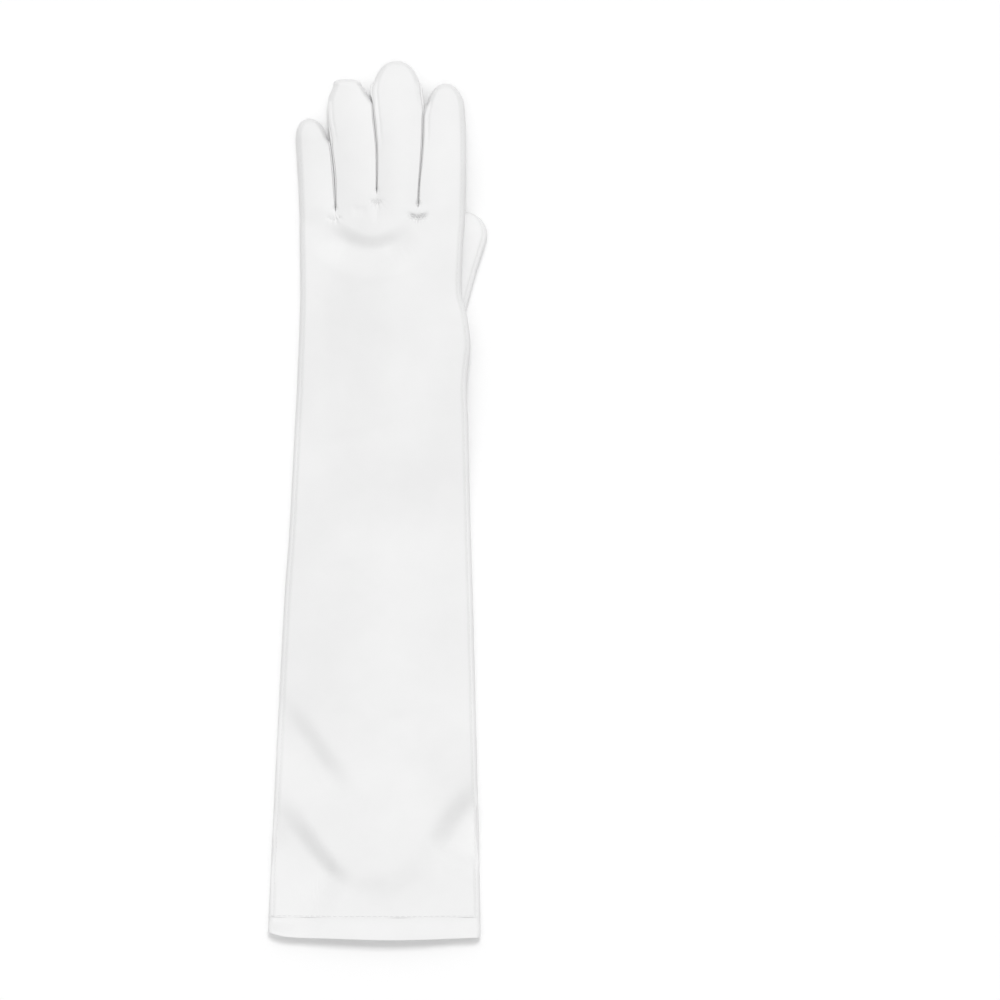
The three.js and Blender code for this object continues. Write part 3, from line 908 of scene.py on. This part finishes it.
def make_glove():
    """All pieces of the glove, with their thickness and materials."""
    satin = make_material("white_satin", dark=(0.80, 0.80, 0.80), light=(0.84, 0.84, 0.84),
                          roughness=(0.5, 0.6), sheen=0.12, weave_pitch=0.34, weave_height=0.02)
    strip_satin = make_material("strip_satin", dark=(0.79, 0.79, 0.79), light=(0.83, 0.83, 0.83),
                                roughness=(0.45, 0.55), sheen=0.1, weave_pitch=0.34, weave_height=0.02)
    thread = make_material("white_thread", dark=(0.72, 0.72, 0.72), light=(0.78, 0.78, 0.78),
                           roughness=(0.5, 0.6), sheen=0.1, weave_pitch=0.12, weave_height=0.02)

    back = make_panel("back_cloth", "top")
    palm = make_panel("palm_cloth", "bottom")
    open_thumbhole(palm, lowest=-1)
    hem = make_hem()
    thumb = make_thumb()
    strips = [make_strip(name + "_cloth", near, far) for name, near, far in STRIPS]

    thicken(back, CLOTH)
    thicken(palm, CLOTH)
    thicken(hem, HEM_CLOTH)
    thicken(thumb, CLOTH)
    for strip in strips:
        thicken(strip, STRIP_CLOTH)

    settle(back, satin, "satin", "back_panel")
    settle(palm, satin, "satin", "palm_panel")
    settle(hem, satin, "satin", "hem_band")
    settle(thumb, satin, "satin", "thumb")
    for strip, (name, _, _) in zip(strips, STRIPS):
        settle(strip, strip_satin, "satin", name)
    threads = [hem_stitches(), side_stitches(), gather_stitches()]
    for piece in threads:
        settle(piece, thread, "thread")


def make_floor():
    """A wide, pale floor just under the glove."""
    mesh = bpy.data.meshes.new("floor")
    signs = ((-1, -1), (1, -1), (1, 1), (-1, 1))
    corners = [(x * FLOOR_HALF, y * FLOOR_HALF, FLOOR_LEVEL) for x, y in signs]
    mesh.from_pydata(corners, [], [(0, 1, 2, 3)])
    floor = bpy.data.objects.new("floor", mesh)
    bpy.context.scene.collection.objects.link(floor)
    material = bpy.data.materials.new("pale_floor")
    material.use_nodes = True
    tree = material.node_tree
    shader = tree.nodes["Principled BSDF"]
    shader.inputs["Roughness"].default_value = 0.9
    shader.inputs["Specular IOR Level"].default_value = 0.1
    grain = node(tree, "ShaderNodeTexNoise", (-600, 0), inputs={"Scale": 3})
    colour = node(tree, "ShaderNodeValToRGB", (-350, 0))
    for element, tone in zip(colour.color_ramp.elements, FLOOR_TONES):
        element.color = (tone, tone, tone, 1)
    tree.links.new(grain.outputs["Fac"], colour.inputs["Fac"])
    tree.links.new(colour.outputs["Color"], shader.inputs["Base Color"])
    mesh.materials.append(material)


def soft_sun(name, towards, spread_degrees, strength):
    """A far, wide light that is equally strong all over the floor."""
    lamp = bpy.data.lights.new(name, "SUN")
    lamp.angle = math.radians(spread_degrees)
    lamp.energy = strength
    light = bpy.data.objects.new(name, lamp)
    light.rotation_euler = Vector(towards).to_track_quat("-Z", "Y").to_euler()
    bpy.context.scene.collection.objects.link(light)


def make_light():
    """A white dome that is brighter overhead, and one soft sun."""
    scene = bpy.context.scene
    world = bpy.data.worlds.new("studio")
    world.use_nodes = True
    tree = world.node_tree
    background = tree.nodes["Background"]
    background.inputs["Color"].default_value = (1, 1, 1, 1)
    direction = node(tree, "ShaderNodeTexCoord", (-900, 0)).outputs["Generated"]
    split = node(tree, "ShaderNodeSeparateXYZ", (-700, 0))
    strength = node(tree, "ShaderNodeMapRange", (-500, 0),
                    inputs={"From Min": 0.0, "To Min": DOME_SIDES, "To Max": DOME_TOP})
    tree.links.new(direction, split.inputs["Vector"])
    tree.links.new(split.outputs["Z"], strength.inputs["Value"])
    tree.links.new(strength.outputs["Result"], background.inputs["Strength"])
    scene.world = world
    soft_sun("key", KEY_TOWARDS, KEY_SPREAD, KEY_STRENGTH)
    scene.view_settings.view_transform = "Standard"
    scene.view_settings.look = "None"
    scene.view_settings.exposure = 0
    scene.view_settings.gamma = 1


def make_camera():
    """A camera that looks straight down and takes in the photo's frame."""
    lens = bpy.data.cameras.new("camera")
    lens.sensor_width = SENSOR
    lens.lens = SENSOR * CAMERA_HEIGHT / FRAME_WIDTH
    camera = bpy.data.objects.new("camera", lens)
    camera.location = (*FRAME_CENTRE, CAMERA_HEIGHT + GLOVE_SURFACE)
    bpy.context.scene.collection.objects.link(camera)
    bpy.context.scene.camera = camera


make_camera()
make_light()
make_floor()
make_glove()
